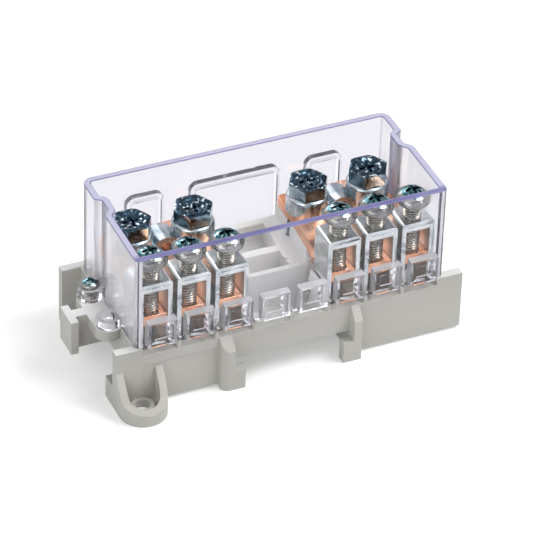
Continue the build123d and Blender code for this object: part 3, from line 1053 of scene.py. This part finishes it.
@dataclass
class Mouldings:
    """The grey base and the clear cover.

    Attributes:
        base_edge: Widest rounding of the base's edges.
        cover_edge: Widest rounding of the cover's edges.
        rim_depth: How far down the walls the rim's rounded edges reach.
        front: Where the cover's front face lies along Y.
        back: Faces behind this belong to the cover's back wall.
        end: Faces past this, to either side, belong to the end walls.
        wall: Where the end walls' inner faces lie along X.
        outside: Where the end walls' outer faces lie along X.
        side: How far the space under the cover reaches to the front and the back.
        floor: Height above which the base lies under the cover.
        rows: The clamp rows lie in front of this.
        bay: Half the width of the bay between the clamp rows.
        near: How near a plane a face lies to count as in it.
    """

    base_edge: float = 0.28 * MM
    cover_edge: float = 0.16 * MM
    rim_depth: float = 0.3 * MM
    front: float = -20.7 * MM
    back: float = 17.0 * MM
    end: float = 42.5 * MM
    wall: float = 43.4 * MM
    outside: float = 45.35 * MM
    side: float = 18.9 * MM
    floor: float = 10.0 * MM
    rows: float = -6.0 * MM
    bay: float = 15.0 * MM
    near: float = 0.05 * MM

    def build(self, shop: Workshop) -> None:
        """Builds both mouldings.

        Args:
            shop: The workshop.
        """
        self.build_base(shop)
        self.build_cover(shop)

    def build_base(self, shop: Workshop) -> None:
        """Joins the base's solids into its one moulding.

        Args:
            shop: The workshop.
        """
        base = shop.piece(shop.copied("base"), "base_finished")
        parts = [name for name in shop.nodes if name.startswith("base_")]
        for name in parts:
            shop.combine(base, shop.copied(name), "UNION")
        # Faces under the cover take the lighter copy: painted light.
        for face in base.data.polygons:
            face.material_index = int(self.under_cover(face.center))
        shop.soften(base, self.base_edge)
        shop.install(base, "base", "base_plastic", GREY, PAINTED_LIGHT_GREY)
        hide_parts(*parts)

    def build_cover(self, shop: Workshop) -> None:
        """Builds the cover, with its front face split where the end walls stand behind it.

        Args:
            shop: The workshop.
        """
        shape = shop.copied("cover")
        for x in (-self.wall, self.wall):
            front = [face for face in shape.faces if self.in_front(face)]
            parts = [part for face in front for part in (face, *face.edges, *face.verts)]
            bmesh.ops.bisect_plane(
                shape, geom=list(dict.fromkeys(parts)), plane_co=(x, 0, 0), plane_no=(1, 0, 0)
            )
        top = max(vertex.co.z for vertex in shape.verts)
        for face in shape.faces:
            face.material_index = self.cover_face(face, top)
        cover = shop.piece(shape, "cover_finished")
        shop.soften(cover, self.cover_edge)
        finishes = (CLEAR, RIM, RIM_EDGE, END_REFLECTION, HOOD, BACK_WALL_SHADE, STRIP)
        shop.install(cover, "cover", "clear_plastic", *finishes)

    def in_front(self, face: bmesh.types.BMFace) -> bool:
        """Tells whether a face lies in the cover's front plane."""
        return all(abs(vertex.co.y - self.front) < self.near for vertex in face.verts)

    def under_cover(self, point: Vector) -> bool:
        """Tells whether a face of the base is painted lighter, where the cover throws light back.

        Args:
            point: The face's middle.

        Returns:
            True for the lighter copy, painted light.
        """
        if point.z < self.floor or abs(point.x) > self.end or abs(point.y) > self.side:
            return False
        return point.y > self.rows or abs(point.x) < self.bay

    def cover_face(self, face: bmesh.types.BMFace, top: float) -> CoverFace:
        """Picks the finish of one face of the cover.

        Args:
            face: The face.
            top: The height of the cover's rim.

        Returns:
            The finish's place in the cover's list.
        """
        if min(vertex.co.z for vertex in face.verts) > top - self.rim_depth:
            return CoverFace.RIM if face.normal.z > LEVEL else CoverFace.RIM_EDGE
        middle = face.calc_center_median()
        upward = face.normal.z > FACING
        sideways = abs(face.normal.x) > FACING
        # Hood faces that look up or sideways, and the tops of the bosses past the ends, take the
        # hazier copy: painted reflection.
        if middle.y < self.front - self.near:
            return CoverFace.HOOD if upward or sideways else CoverFace.CLEAR
        if abs(middle.x) > self.outside and upward:
            return CoverFace.HOOD
        # The strip of front face before each end wall takes the whiter copy: painted light.
        if middle.y < self.front + self.near and abs(middle.x) > self.wall:
            return CoverFace.WALL_END
        # Sideways faces of the end walls take the hazier copy: painted reflection.
        if sideways and self.end < abs(middle.x) < self.outside:
            return CoverFace.END_WALL
        # The back wall's faces take the darker copy: painted shade.
        if abs(face.normal.y) > FACING and middle.y > self.back:
            return CoverFace.BACK_WALL
        return CoverFace.CLEAR


@dataclass(frozen=True)
class Viewpoint:
    """The photograph's camera, solved on the block's own edges.

    Attributes:
        azimuth: Degrees about Z from a look along +Y.
        elevation: Degrees above the horizon.
        roll: Degrees about the line of sight.
        lens: Focal length in millimetres.
        distance: From the target, in metres.
        target: The point that the camera looks at.
        shift: The frame's shift, as shares of its width.
    """

    azimuth: float = -24.327
    elevation: float = 36.362
    roll: float = 1.872
    lens: float = 253.4
    distance: float = 1.0565
    target: Vector = Vector((0.0, 1.5 * MM, 25.0 * MM))
    shift: tuple[float, float] = (0.0285, -0.0484)

    def build(self) -> None:
        """Creates the camera and makes it the scene's."""
        a, e, r = (math.radians(value) for value in (self.azimuth, self.elevation, self.roll))
        back = Vector((math.sin(a) * math.cos(e), -math.cos(a) * math.cos(e), math.sin(e)))
        right = Vector((math.cos(a), math.sin(a), 0.0))
        up = back.cross(right)
        across = math.cos(r) * right + math.sin(r) * up
        above = -math.sin(r) * right + math.cos(r) * up
        camera = bpy.data.cameras.new("camera")
        camera.lens = self.lens
        camera.shift_x, camera.shift_y = self.shift
        camera.clip_start = 0.05
        camera.clip_end = 20.0
        holder = bpy.data.objects.new("camera", camera)
        place = Matrix((across, above, back)).transposed().to_4x4()
        place.translation = self.target + self.distance * back
        holder.matrix_world = place
        bpy.context.scene.collection.objects.link(holder)
        bpy.context.scene.camera = holder


@dataclass(frozen=True)
class Softbox:
    """A square lamp that faces the block.

    Attributes:
        name: Its name.
        place: Where it stands.
        size: Its side in metres.
        power: Its power in watts.
    """

    name: str
    place: tuple[float, float, float]
    size: float
    power: float

    def build(self) -> None:
        """Creates the lamp."""
        lamp = bpy.data.lights.new(self.name, "AREA")
        lamp.size = self.size
        lamp.energy = self.power
        holder = bpy.data.objects.new(self.name, lamp)
        holder.location = self.place
        holder.rotation_euler = Vector(self.place).to_track_quat("Z", "Y").to_euler()
        bpy.context.scene.collection.objects.link(holder)


class Studio:
    """A pale floor, a white surround, dark reflector cards and soft lamps.

    Attributes:
        floor_glow: How much the floor shines towards the camera, to show nearly white.
        surround_level: The surround's strength as a lamp. To the eye it is 1.
        lamps: The softboxes.
        cards: Each dark card's name, place, size and turn in degrees.
    """

    floor_glow: float = 0.32
    surround_level: float = 0.34
    lamps: tuple[Softbox, ...] = (
        Softbox("key_box", (0.45, -0.25, 0.75), 0.45, 5.6),
        Softbox("fill_box", (-0.7, -0.45, 0.5), 0.6, 2.6),
        Softbox("rim_box", (-0.1, 0.8, 0.5), 0.5, 2.4),
    )
    cards: tuple[tuple, ...] = (
        ("dark_card_front", (-0.26, -0.57, 0.46), (0.5, 0.3), (-54.0, 0.0, 24.0)),
        ("dark_card_right", (0.6, 0.05, 0.2), (0.5, 0.24), (90.0, 0.0, 90.0)),
        ("dark_card_back", (0.3, 0.62, 0.5), (0.42, 0.42), (54.0, 0.0, -26.0)),
    )

    def seen(self, graph: Graph) -> bpy.types.NodeSocket:
        """Tells rays that come from the camera, straight or by way of metal and glass.

        Args:
            graph: The graph that it is added to.

        Returns:
            A socket that gives 1 for such rays and 0 for others.
        """
        path = graph.add("ShaderNodeLightPath")
        first = graph.add("ShaderNodeMath", operation="MAXIMUM")
        graph.join(path.outputs["Is Camera Ray"], first.inputs[0])
        graph.join(path.outputs["Is Glossy Ray"], first.inputs[1])
        second = graph.add("ShaderNodeMath", operation="MAXIMUM")
        graph.join(first.outputs[0], second.inputs[0])
        graph.join(path.outputs["Is Transmission Ray"], second.inputs[1])
        return second.outputs[0]

    def floor(self) -> None:
        """Lays the floor, which shows nearly white and keeps the block's shadow."""
        graph = Graph("pale_floor")
        shader = graph.shader(
            Base_Color=(0.8, 0.8, 0.8, 1.0), Roughness=0.9, Specular_IOR_Level=0.1
        )
        shader.inputs["Emission Color"].default_value = (1.0, 1.0, 1.0, 1.0)
        lift = graph.add("ShaderNodeMath", operation="MULTIPLY")
        lift.inputs[1].default_value = self.floor_glow
        graph.join(self.seen(graph), lift.inputs[0])
        graph.join(lift.outputs[0], shader.inputs["Emission Strength"])
        shape = bmesh.new()
        bmesh.ops.create_grid(shape, x_segments=1, y_segments=1, size=3.0)
        mesh = bpy.data.meshes.new("floor")
        shape.to_mesh(mesh)
        shape.free()
        floor = bpy.data.objects.new("floor", mesh)
        floor.location.z = -0.02 * MM
        mesh.materials.append(graph.material)
        bpy.context.scene.collection.objects.link(floor)

    def surround(self) -> None:
        """Makes the world white to the eye and softer as a lamp."""
        world = bpy.data.worlds.new("surround")
        bpy.context.scene.world = world
        world.use_nodes = True
        tree = world.node_tree
        background = tree.nodes["Background"]
        background.inputs["Color"].default_value = (1.0, 1.0, 1.0, 1.0)
        path = tree.nodes.new("ShaderNodeLightPath")
        level = tree.nodes.new("ShaderNodeMapRange")
        level.inputs["To Min"].default_value = 1.0
        level.inputs["To Max"].default_value = self.surround_level
        tree.links.new(path.outputs["Is Diffuse Ray"], level.inputs["Value"])
        tree.links.new(level.outputs["Result"], background.inputs["Strength"])

    def reflectors(self) -> None:
        """Hangs dark cards out of the picture, so that metal shows its form."""
        graph = Graph("dark_card")
        graph.shader(Base_Color=(0.03, 0.035, 0.045, 1.0), Roughness=0.8)
        for name, place, size, turn in self.cards:
            shape = bmesh.new()
            bmesh.ops.create_grid(shape, x_segments=1, y_segments=1, size=0.5)
            bmesh.ops.scale(shape, vec=(*size, 1.0), verts=shape.verts)
            mesh = bpy.data.meshes.new(name)
            shape.to_mesh(mesh)
            shape.free()
            mesh.materials.append(graph.material)
            card = bpy.data.objects.new(name, mesh)
            card.location = place
            card.rotation_euler = [math.radians(value) for value in turn]
            for ray in ("camera", "diffuse", "transmission", "shadow"):
                setattr(card, f"visible_{ray}", False)
            bpy.context.scene.collection.objects.link(card)

    def build(self) -> None:
        """Builds the whole studio."""
        self.floor()
        self.surround()
        self.reflectors()
        for lamp in self.lamps:
            lamp.build()
        bpy.context.scene.view_settings.view_transform = "Standard"


def main() -> None:
    """Loads the frame and builds the block, the studio and the camera."""
    logging.basicConfig(level=logging.INFO, format="%(message)s")
    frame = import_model()
    riders = frame["record"]["behaviour"]["bodies"]
    bodies = {node: body for body, nodes in riders.items() for node in nodes}
    shop = Workshop(frame["nodes"], bodies, Finishes())
    Mouldings().build(shop)
    ConductorSet().build(shop)
    ClampCages().build(shop)
    Screws(
        Part.CLAMP_SCREW, shank=2.47 * MM, pitch=0.8 * MM, head=3.7 * MM, rim=1.2 * MM
    ).build(shop)
    Screws(
        Part.COVER_SCREW, shank=1.48 * MM, pitch=0.5 * MM, head=2.1 * MM, rim=1.0 * MM
    ).build(shop)
    SaddleBolts().build(shop)
    Studio().build()
    Viewpoint().build()


if __name__ == "__main__":
    main()
